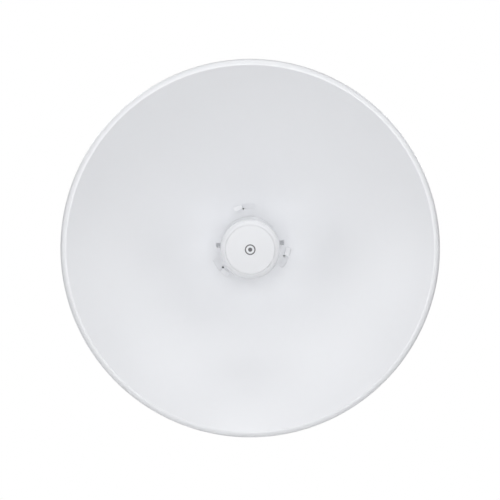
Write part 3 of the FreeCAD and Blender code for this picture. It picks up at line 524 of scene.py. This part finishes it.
# These are in millimetres.
JACK_Y, BUTTON_Y, BUTTON_X = -102.5, -113.5, -6.0
LIGHTS_X = (0.0, 3.0, 6.0, 9.0)
UNDERSIDE_Z = -26.0
BUTTON_HOLE_R, LIGHT_HOLE_R = 2.0, 1.3
GROOVE_CUT = ((-4.3, -114, 27), (4.3, -80, 32))
JACK_CUT = ((-8.2, JACK_Y - 7.7, -30), (8.2, JACK_Y + 7.7, -20))


def tube_tree(material):
    tree, given = new_tree("feed_tube", {"Spokes": "NodeSocketInt"})
    tube = facing_front(tree, lathe_geometry(tree, given["Geometry"], given["Spokes"]))
    cutters = [box_cutter(tree, *GROOVE_CUT), box_cutter(tree, *JACK_CUT),
               hole_row(tree, BUTTON_HOLE_R, [(BUTTON_X, BUTTON_Y)]),
               hole_row(tree, LIGHT_HOLE_R, [(x, BUTTON_Y) for x in LIGHTS_X])]
    for cutter in cutters:
        tube = combined(tree, "DIFFERENCE", tube, cutter)
    close_tree(tree, tube, material)
    return tree


tube = run_tree("feed_shell", outline_mesh("tube_outline", tube_outline()),
                tube_tree(FINISH["housing_white"]), {"Spokes": SPOKES})
stand_in(tube, "feed_tube")
for name, node, outline in (("feed_dome", "feed_cap", cap_outline()),
                            ("feed_disc", "cap_disc", disc_outline())):
    shell = run_tree(name, outline_mesh(name + "_outline", outline), lathe_tree(FINISH[SLOT_OF[node]]),
                     {"Spokes": SPOKES}, sharp=35)
    stand_in(shell, node)

# %% [markdown]
# ## A plain mark for the axis
#
# Such a feed has something printed in the middle of its disc. Here it is a dot in a ring, which simply
# shows where the beam's axis is. Print is a film of ink, so the mark is two rings only a twentieth of a
# millimetre thick: real faces with their own finish stay sharper than a painted texture.

# %% Print the mark
INK = {"axis_mark_dot": (0.0, 2.3 * MM), "axis_mark_ring": (4.6 * MM, 5.9 * MM)}
for name, (inside, outside) in INK.items():
    mark = run_tree(name, outline_mesh(name + "_outline", ring_outline(inside, outside)),
                    lathe_tree(FINISH["button_grey"]), {"Spokes": 96}, sharp=35)
    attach(mark, BODY_OF["cap_disc"])
    print(mark.name, len(mark.data.polygons), "faces")

# %% [markdown]
# ## Rounding the moulded and cast parts
#
# Nothing that comes out of a mould or a die has a knife edge. The engineering model leaves the edges
# sharp, so each of these parts is copied, its loose triangles are joined into clean faces, and a small
# bevel runs along every edge. The bevel catches a thin line of light, which is most of what tells a real
# part from a drawing. Weighted normals keep the flat faces flat beside it.


# %% Helper: round a CAD part's edges
BEVEL_STEPS, BEVEL_OVER, SHADE_OVER = 2, 32.0, 50.0      # the last two in degrees


def rounded(node, width):
    """Copy of a node's mesh, its edges over BEVEL_OVER bevelled by width mm."""
    mesh = frame["nodes"][node].data.copy()
    work = bmesh.new()
    work.from_mesh(mesh)
    bmesh.ops.remove_doubles(work, verts=work.verts, dist=WELD / 2)
    bmesh.ops.dissolve_limit(work, angle_limit=math.radians(1.0), verts=work.verts, edges=work.edges)
    work.to_mesh(mesh)
    work.free()
    source = bpy.data.objects.new(node + "_source", mesh)
    bpy.context.scene.collection.objects.link(source)
    bevel = source.modifiers.new("edges", "BEVEL")
    bevel.width = width * MM
    bevel.segments = BEVEL_STEPS
    bevel.limit_method = "ANGLE"
    bevel.angle_limit = math.radians(BEVEL_OVER)
    bevel.use_clamp_overlap = False
    weights = source.modifiers.new("flats", "WEIGHTED_NORMAL")
    weights.keep_sharp = True
    mesh.shade_smooth()
    mesh.set_sharp_from_angle(angle=math.radians(SHADE_OVER))
    evaluated = source.evaluated_get(bpy.context.evaluated_depsgraph_get())
    made = bpy.data.meshes.new_from_object(evaluated)
    made.name = node + "_rounded"
    bpy.data.objects.remove(source)
    piece = bpy.data.objects.new(node + "_rounded", made)
    bpy.context.scene.collection.objects.link(piece)
    made.materials.clear()
    return stand_in(piece, node)


# %% Round them
EDGES = {"rear_housing": 0.2, "tilt_bracket": 0.5, "pole_bracket": 0.6, "clamp_jaw": 0.7,
         "release_lever": 0.2, "cable_door": 0.3, "cable_grommet": 0.35, "tail_cap": 0.3,
         "clamp_washers": 0.2, "tilt_pivot_washers": 0.2, "tilt_lock_washers": 0.2}
for node, width in EDGES.items():
    rounded(node, width)

# %% [markdown]
# ## Bolts and nuts
#
# A bolt is three shapes that repeat all over the mount: a head or a nut with six flats and trimmed
# corners, a shank, and a thread. The corners are trimmed as on a real one, by a wide cone that shares
# the bolt's axis: where the six-sided block and the cone overlap is the head. The thread is a true
# helix. Its tree lays a grid round the shank and moves each point in or out by a wave that depends on
# the height and on the angle together, so the ridge climbs one pitch with every turn.

# %% Helpers: upright shapes
def rod_geometry(tree, radius, low, high):
    """Round bar along Z between two heights."""
    return moved_by(tree, cylinder(tree, radius, high - low, 48), 0.0, 0.0, (low + high) / 2)


def raised(tree, geometry, height):
    return moved_by(tree, geometry, 0.0, 0.0, height)


def upside_down(tree, geometry):
    over = {"Geometry": geometry, "Rotation": (math.pi, 0.0, 0.0)}
    return add(tree, "GeometryNodeTransform", over).outputs[0]


def cone_geometry(tree, top_r, base_r, height):
    """Cone about Z that stands on z = 0."""
    made = add(tree, "GeometryNodeMeshCone",
               {"Vertices": 64, "Radius Top": top_r, "Radius Bottom": base_r, "Depth": height})
    return made.outputs["Mesh"]


# %% Helper: a hexagon with trimmed corners
CORNER_RISE = 1.73                  # the trimming cone widens by this much for each unit of height
CORNER_R = 0.475                    # radius of the face it leaves, as a share of the width across flats
CONE_TALL = 1.2                     # height of the cone, as a share of the head's height


def hexagon_geometry(tree, across, height, trim_base, hole=0.0):
    """Hexagon head or nut from z = 0 upwards, its top (and its base) trimmed, with a hole if it has one."""
    body = raised(tree, cylinder(tree, across / math.sqrt(3), height, 6), height / 2)
    tall = height * CONE_TALL
    narrow = across * CORNER_R
    over_top = raised(tree, cone_geometry(tree, narrow, narrow + CORNER_RISE * tall, tall), height - tall)
    body = combined(tree, "INTERSECT", body, over_top)
    if trim_base:
        body = combined(tree, "INTERSECT", body, raised(tree, upside_down(tree, over_top), height))
    if hole:
        body = combined(tree, "DIFFERENCE", body, cylinder(tree, hole, 3 * height, 40))
    return body


# %% Helper: a threaded rod
THREAD_SPOKES, THREAD_STEPS = 32, 8     # points round the rod, and rows of them for each turn
THREAD_DEPTH = 0.54                     # depth of the groove, as a share of the pitch


def thread_geometry(tree, radius, length, pitch):
    """Rod from z = 0 upwards with a helical ridge, both its ends closed and chamfered."""
    rows = int(length / pitch * THREAD_STEPS) + 3
    depth = THREAD_DEPTH * pitch
    grid = add(tree, "GeometryNodeMeshGrid", {"Vertices X": THREAD_SPOKES + 1, "Vertices Y": rows})
    index = add(tree, "GeometryNodeInputIndex").outputs[0]
    row = calculate(tree, "MODULO", index, rows)
    spoke = calculate(tree, "FLOOR", calculate(tree, "DIVIDE", calculate(tree, "ADD", index, 0.5), rows))
    turn = calculate(tree, "DIVIDE", spoke, THREAD_SPOKES)
    # The first and the last row share the height of their neighbours and close the ends.
    inner = calculate(tree, "MAXIMUM", calculate(tree, "SUBTRACT", row, 1.0), 0.0)
    inner = calculate(tree, "MINIMUM", inner, rows - 3.0)
    height = calculate(tree, "MULTIPLY", inner, length / (rows - 3))
    phase = calculate(tree, "SUBTRACT", calculate(tree, "DIVIDE", height, pitch), turn)
    wave = calculate(tree, "PINGPONG", phase, 0.5)
    ridge = calculate(tree, "MULTIPLY_ADD", wave, -2 * depth, radius)
    from_end = calculate(tree, "MINIMUM", height, calculate(tree, "SUBTRACT", length, height))
    chamfer = calculate(tree, "ADD", from_end, radius - depth)
    solid = calculate(tree, "MINIMUM", ridge, chamfer)
    first = calculate(tree, "GREATER_THAN", row, 0.5)
    last = calculate(tree, "LESS_THAN", row, rows - 1.5)
    reach = calculate(tree, "MULTIPLY", solid, calculate(tree, "MULTIPLY", first, last))
    angle = calculate(tree, "MULTIPLY", turn, 2 * math.pi)
    x = calculate(tree, "MULTIPLY", reach, calculate(tree, "COSINE", angle))
    y = calculate(tree, "MULTIPLY", reach, calculate(tree, "SINE", angle))
    place = add(tree, "ShaderNodeCombineXYZ", {0: x, 1: y, 2: height}).outputs[0]
    moved = add(tree, "GeometryNodeSetPosition",
                {"Geometry": grid.outputs["Mesh"], "Position": place}).outputs[0]
    return add(tree, "GeometryNodeMergeByDistance", {"Geometry": moved, "Distance": WELD}).outputs[0]


# %% Helper: repeat a shape at points
def repeated(name, node, places, turn, shape):
    """Piece that stands in for a node: a shape built along Z, turned by degrees, at each place in mm."""
    tree, given = new_tree(name, {"Turn": "NodeSocketVector"})
    at_points = {"Points": add(tree, "GeometryNodeMeshToPoints", {0: given["Geometry"]}).outputs[0],
                 "Instance": shape(tree), "Rotation": given["Turn"]}
    placed = add(tree, "GeometryNodeInstanceOnPoints", at_points).outputs[0]
    close_tree(tree, placed, FINISH[SLOT_OF[node]])
    points = bpy.data.meshes.new(name + "_points")
    points.from_pydata([[value * MM for value in place] for place in places], [], [])
    piece = run_tree(name, points, tree, {"Turn": [math.radians(angle) for angle in turn]})
    return stand_in(piece, node)


# %% [markdown]
# ## The clamp's bolts
#
# Two carriage bolts pull the jaw towards the bracket. A carriage bolt has a smooth domed head and a
# square neck under it, which keeps it from turning. The nuts behind the jaw have a wide flange. Each
# shape is built once along Z and then placed at both bolts: 90 degrees about X brings +Z to +Y or -Y.

# %% Make the clamp's bolts and nuts
BOLT_X = 38.0                       # millimetres, like all places handed to repeated()
SEAT_Y = 30.0
BOLT_END_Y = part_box("clamp_bolts")[1][1] / MM
NUT_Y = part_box("clamp_nuts")[0][1] / MM
M8, M8_PITCH, M8_ACROSS = 4.0 * MM, 1.25 * MM, 13 * MM
SHANK = 0.95                        # radius of the plain shank, as a share of the thread's
TO_REAR, TO_LEFT = (-90, 0, 0), (0, -90, 0)


def shank_and_thread(tree, radius, pitch, length, thread_from):
    """Plain shank from just inside the head, and the thread up to the full length."""
    shank = rod_geometry(tree, radius * SHANK, -1 * MM, thread_from + pitch)
    return shank, raised(tree, thread_geometry(tree, radius, length - thread_from, pitch), thread_from)


def carriage_bolt(tree):
    """From the seat of the head at z = 0 towards the rear."""
    head_r, head, rim = 9.5 * MM, 4.6 * MM, 1.0 * MM
    neck_side, neck_tall = 8 * MM, 5 * MM
    ball_r = (head_r ** 2 + (head - rim) ** 2) / (2 * (head - rim))
    ball = add(tree, "GeometryNodeMeshUVSphere",
               {"Segments": 64, "Rings": 96, "Radius": ball_r}).outputs["Mesh"]
    blank = rod_geometry(tree, head_r, -head - rim, 0.0)
    dome = combined(tree, "INTERSECT", raised(tree, ball, ball_r - head), blank)
    neck = add(tree, "GeometryNodeMeshCube", {"Size": (neck_side, neck_side, neck_tall)}).outputs["Mesh"]
    rest = shank_and_thread(tree, M8, M8_PITCH, (BOLT_END_Y + SEAT_Y) * MM, 32.0 * MM)
    return joined(tree, dome, raised(tree, neck, neck_tall / 2), *rest)


def flange_nut(tree):
    hole_r = M8 + 0.1 * MM
    nut = hexagon_geometry(tree, M8_ACROSS, 8.0 * MM, False, hole_r)
    skirt = cone_geometry(tree, 6.9 * MM, 8.6 * MM, 1.6 * MM)
    return joined(tree, nut, combined(tree, "DIFFERENCE", skirt, rod_geometry(tree, hole_r, -1 * MM, 3 * MM)))


for name, node, y, shape in (("clamp_bolts_threaded", "clamp_bolts", -SEAT_Y, carriage_bolt),
                             ("clamp_flange_nuts", "clamp_nuts", NUT_Y, flange_nut)):
    repeated(name, node, [(-BOLT_X, y, 0), (BOLT_X, y, 0)], TO_REAR, shape)

# %% [markdown]
# ## The bolts of the tilt joint
#
# One larger bolt is the pivot, and two smaller ones lock the angle in arc slots above and below it. All
# three go through from the same side, so their heads and nuts are the same shapes in two sizes.

# %% Make the tilt joint's bolts and nuts
PIVOT_Y = -58.0
HEAD_X = 26.1                       # outer face of the washers
THREADED = 14 * MM
SIZES = {
    "pivot": {"radius": M8, "pitch": M8_PITCH, "across": M8_ACROSS, "head": 5.3 * MM, "nut": 6.5 * MM,
              "end_x": -36.0, "heights": (0.0,), "nodes": ("tilt_pivot_bolt", "tilt_pivot_nut")},
    "lock": {"radius": 3.0 * MM, "pitch": 1.0 * MM, "across": 10 * MM, "head": 4.0 * MM, "nut": 5.0 * MM,
             "end_x": -34.0, "heights": (-24.0, 24.0), "nodes": ("tilt_lock_bolts", "tilt_lock_nuts")},
}


def hex_bolt(size):
    """Maker of a bolt that points along +Z from the seat of its head at z = 0."""
    length = (HEAD_X - size["end_x"]) * MM

    def make(tree):
        head = upside_down(tree, hexagon_geometry(tree, size["across"], size["head"], False))
        rest = shank_and_thread(tree, size["radius"], size["pitch"], length, length - THREADED)
        return joined(tree, head, *rest)
    return make


def hex_nut(size):
    """Maker of a nut that stands on z = 0."""
    hole_r = size["radius"] + 0.05 * MM
    return lambda tree: hexagon_geometry(tree, size["across"], size["nut"], True, hole_r)


for kind, size in SIZES.items():
    bolt_node, nut_node = size["nodes"]
    for name, node, x, shape in ((f"tilt_{kind}_hex_bolt", bolt_node, HEAD_X, hex_bolt(size)),
                                 (f"tilt_{kind}_hex_nut", nut_node, -HEAD_X, hex_nut(size))):
        repeated(name, node, [(x, PIVOT_Y, z) for z in size["heights"]], TO_LEFT, shape)

# %% [markdown]
# ## A scale for the tilt angle
#
# Whoever aims the dish needs to read its angle, so the rim of each tilt ear carries raised ticks every
# five degrees, longer every ten. A small pointer on the fixed ear shows the reading. The ticks sit on an
# arc about the pivot: the tree counts them, turns each by its number and makes the even ones long.

# %% Make the scale and its pointer
RIM_R = 30.5 * MM
EAR_MIDDLE_X = 18.0 * MM
TICK = {"wide": 0.5 * MM, "long": 3.4 * MM, "high": 0.5 * MM}
SHORTER = 0.45                      # share by which every second tick is shorter
PROUD = 0.3                         # share of its height by which a tick's middle is above the rim
TICKS, TICK_STEP = 9, math.radians(5)


def scale_tree(material):
    tree, given = new_tree("tilt_scale", {"Ticks": "NodeSocketInt", "Step": "NodeSocketFloat"})
    line = add(tree, "GeometryNodeMeshLine", {"Count": given["Ticks"]}).outputs[0]
    index = add(tree, "GeometryNodeInputIndex").outputs[0]
    middle = calculate(tree, "DIVIDE", calculate(tree, "SUBTRACT", given["Ticks"], 1.0), 2.0)
    angle = calculate(tree, "MULTIPLY", calculate(tree, "SUBTRACT", index, middle), given["Step"])
    out = RIM_R + TICK["high"] * PROUD
    y = calculate(tree, "MULTIPLY_ADD", calculate(tree, "SINE", angle), -out, PIVOT_Y * MM)
    z = calculate(tree, "MULTIPLY", calculate(tree, "COSINE", angle), out)
    place = add(tree, "ShaderNodeCombineXYZ", {0: EAR_MIDDLE_X, 1: y, 2: z}).outputs[0]
    points = add(tree, "GeometryNodeSetPosition", {"Geometry": line, "Position": place}).outputs[0]
    tick = add(tree, "GeometryNodeMeshCube", {"Size": (TICK["long"], TICK["wide"], TICK["high"])})
    odd = calculate(tree, "MODULO", index, 2.0)
    share = calculate(tree, "MULTIPLY_ADD", odd, -SHORTER, 1.0)
    size = add(tree, "ShaderNodeCombineXYZ", {0: share, 1: 1.0, 2: 1.0}).outputs[0]
    turn = add(tree, "ShaderNodeCombineXYZ", {0: angle}).outputs[0]
    ticks = add(tree, "GeometryNodeInstanceOnPoints", {
        "Points": points, "Instance": tick.outputs["Mesh"], "Rotation": turn, "Scale": size}).outputs[0]
    ticks = add(tree, "GeometryNodeRealizeInstances", {0: ticks}).outputs[0]
    other = moved_by(tree, ticks, -2 * EAR_MIDDLE_X, 0, 0)
    close_tree(tree, joined(tree, ticks, other), material)
    return tree


scale = run_tree("tilt_scale", bpy.data.meshes.new("nothing"), scale_tree(FINISH["cast_grey"]),
                 {"Ticks": TICKS, "Step": TICK_STEP})
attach(scale, "head")


def pointer_mesh():
    """Two flat arrows on the fixed ears, each pointing inwards at the scale."""
    work = bmesh.new()
    low, high, half = 30.8 * MM, 31.4 * MM, 1.4 * MM
    for side in (-1, 1):
        tip, tail = side * 20.8 * MM, side * 24.0 * MM
        corners = [(tip, 0.0), (tail, half), (tail, -half)]
        base = [work.verts.new((x, PIVOT_Y * MM + y, low)) for x, y in corners]
        face = work.faces.new(base)
        top = bmesh.ops.extrude_face_region(work, geom=[face])["geom"]
        lifted = [part for part in top if isinstance(part, bmesh.types.BMVert)]
        bmesh.ops.translate(work, verts=lifted, vec=(0.0, 0.0, high - low))
    mesh = bpy.data.meshes.new("tilt_pointer")
    work.to_mesh(mesh)
    work.free()
    return mesh


pointer = new_piece("tilt_pointer", pointer_mesh())
pointer.data.materials.append(FINISH["cast_grey"])
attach(pointer, "pole_mount")
print("scale", len(scale.data.polygons), "faces, pointer", len(pointer.data.polygons))

# %% [markdown]
# ## Contacts in the network socket
#
# Eight sprung wires lie side by side in the socket, 1.02 mm apart. They rise from the mouth towards the
# back, so that a plug presses them flat. One bent wire, repeated along a line, makes all eight.

# %% Make the contacts
CONTACTS, CONTACT_GAP, CONTACT_R = 8, 1.02 * MM, 0.22 * MM
LOW_Y, HIGH_Y = (JACK_Y - 3.6) * MM, (JACK_Y - 0.6) * MM
MOUTH_Z, BEND_Z, BACK_Z = -25.5 * MM, -21.0 * MM, -14.4 * MM


def contacts_tree(material):
    tree, given = new_tree("contacts", {"Contacts": "NodeSocketInt", "Gap": "NodeSocketFloat"})
    wire = add(tree, "GeometryNodeCurveQuadraticBezier", {
        "Resolution": 10, "Start": (0.0, LOW_Y, MOUTH_Z), "Middle": (0.0, LOW_Y, BEND_Z),
        "End": (0.0, HIGH_Y, BACK_Z)}).outputs[0]
    section = add(tree, "GeometryNodeCurvePrimitiveCircle", {"Resolution": 8, "Radius": CONTACT_R}).outputs[0]
    rod = add(tree, "GeometryNodeCurveToMesh",
              {"Curve": wire, "Profile Curve": section, "Fill Caps": True}).outputs[0]
    half = calculate(tree, "MULTIPLY", calculate(tree, "SUBTRACT", given["Contacts"], 1.0), -0.5)
    first = calculate(tree, "MULTIPLY", half, given["Gap"])
    start = add(tree, "ShaderNodeCombineXYZ", {0: first}).outputs[0]
    step = add(tree, "ShaderNodeCombineXYZ", {0: given["Gap"]}).outputs[0]
    line = add(tree, "GeometryNodeMeshLine",
               {"Count": given["Contacts"], "Start Location": start, "Offset": step}).outputs[0]
    wires = add(tree, "GeometryNodeInstanceOnPoints", {"Points": line, "Instance": rod}).outputs[0]
    close_tree(tree, wires, material)
    return tree


contacts = run_tree("jack_contacts", bpy.data.meshes.new("no_points"), contacts_tree(FINISH["brass"]),
                    {"Contacts": CONTACTS, "Gap": CONTACT_GAP})
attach(contacts, BODY_OF["ethernet_jack"])
print("contacts", len(contacts.data.polygons), "faces")

# %% [markdown]
# ## Camera, light and room
#
# A white object on white is all about light. A strong soft box on the camera's line lights the bowl evenly.
# One overhead and five weaker ones round the front give it shape: each brightens the part of the bowl
# that faces it and throws a soft shadow of the feed on the far side. Three more stand behind, for the
# mount. Floor and sky look white to the camera, but hardly light the object, or every shade would fade.

# %% Camera
CAMERA_LIFT = math.radians(4.17)
CAMERA_DISTANCE = 2.48
AIM = Vector((-0.0002, -0.2, -0.0013))
camera_data = bpy.data.cameras.new("camera")
camera_data.sensor_width = 36.0     # millimetres, like the lens
camera_data.lens = 160.87
camera = bpy.data.objects.new("camera", camera_data)
away = Vector((0.0, -math.cos(CAMERA_LIFT), math.sin(CAMERA_LIFT)))
camera.location = AIM + away * CAMERA_DISTANCE
camera.rotation_euler = away.to_track_quat("Z", "Y").to_euler()
bpy.context.scene.collection.objects.link(camera)
bpy.context.scene.camera = camera
print("camera at", [round(v, 3) for v in camera.location])


# %% Lights
DISH_MIDDLE = Vector((0.0, -0.17, 0.0))
BOX_SIDE, BOX_DISTANCE = 0.9, 1.8


def soft_box(name, around, lift, power):
    """Square area light that faces the dish from a direction: degrees round it and degrees up."""
    turn, rise = math.radians(around), math.radians(lift)
    towards = Vector((math.sin(turn) * math.cos(rise), -math.cos(turn) * math.cos(rise), math.sin(rise)))
    light = bpy.data.lights.new(name, "AREA")
    light.shape = "RECTANGLE"
    light.size = BOX_SIDE
    light.size_y = BOX_SIDE
    light.energy = power
    lamp = bpy.data.objects.new(name, light)
    lamp.location = DISH_MIDDLE + towards * BOX_DISTANCE
    lamp.rotation_euler = towards.to_track_quat("Z", "Y").to_euler()
    bpy.context.scene.collection.objects.link(lamp)


# Degrees round the dish from the front, degrees up, watts
SOFT_BOXES = {
    "front": (0, 4, 13.3),
    "key_left": (-60, 5, 4.8),
    "high_left": (-45, 40, 3.4),
    "high_right": (45, 40, 4.2),
    "right": (60, 5, 3.3),
    "high_front": (0, 40, 2.6),
    "overhead": (0, 80, 7.8),
    "rear_left": (-140, 30, 9.0),
    "rear_right": (145, 20, 7.0),
    "rear_low": (180, -25, 4.0),
}
for name, (around, lift, power) in SOFT_BOXES.items():
    soft_box(name, around, lift, power)
print("soft boxes:", len(SOFT_BOXES))


# %% Room
WHITE = (1, 1, 1, 1)


def emitters(tree, kind, strengths):
    """White emitting shaders of these strengths."""
    return [add(tree, kind, {"Color": WHITE, "Strength": strength}).outputs[0] for strength in strengths]


def seen_and_lit(tree, seen, mirrored, lit):
    """Mix of shaders: what the camera sees, what shows in shiny surfaces, and the light that is given."""
    path = add(tree, "ShaderNodeLightPath").outputs
    inner = add(tree, "ShaderNodeMixShader", {0: path["Is Glossy Ray"], 1: lit, 2: mirrored}).outputs[0]
    return add(tree, "ShaderNodeMixShader", {0: path["Is Camera Ray"], 1: inner, 2: seen}).outputs[0]


def white_world(strengths):
    """Sky that the camera sees as white and that lights the object far less strongly."""
    world = bpy.data.worlds.new("studio")
    world.use_nodes = True
    tree = world.node_tree
    tree.nodes.clear()
    skies = emitters(tree, "ShaderNodeBackground", strengths)
    add(tree, "ShaderNodeOutputWorld", {"Surface": seen_and_lit(tree, *skies)})
    bpy.context.scene.world = world


def pale_floor(height, half, strengths):
    """Large plain floor, not part of the object."""
    mesh = bpy.data.meshes.new("floor")
    corners = [(-half, -half, height), (half, -half, height), (half, half, height), (-half, half, height)]
    mesh.from_pydata(corners, [], [(0, 1, 2, 3)])
    material = bpy.data.materials.new("pale_floor")
    material.use_nodes = True
    tree = material.node_tree
    tree.nodes.clear()
    seen, mirrored, glow = emitters(tree, "ShaderNodeEmission", strengths)
    paint = add(tree, "ShaderNodeBsdfDiffuse", {"Color": (0.9, 0.9, 0.9, 1)}).outputs[0]
    lit = add(tree, "ShaderNodeAddShader", {0: paint, 1: glow}).outputs[0]
    add(tree, "ShaderNodeOutputMaterial", {"Surface": seen_and_lit(tree, seen, mirrored, lit)})
    mesh.materials.append(material)
    floor = bpy.data.objects.new("floor", mesh)
    bpy.context.scene.collection.objects.link(floor)


# Strengths for the camera, for shiny surfaces and for everything else
white_world((1.0, 0.35, 0.05))
pale_floor(-0.75, 15.0, (1.0, 0.25, 0.02))
bpy.context.scene.view_settings.view_transform = "Standard"
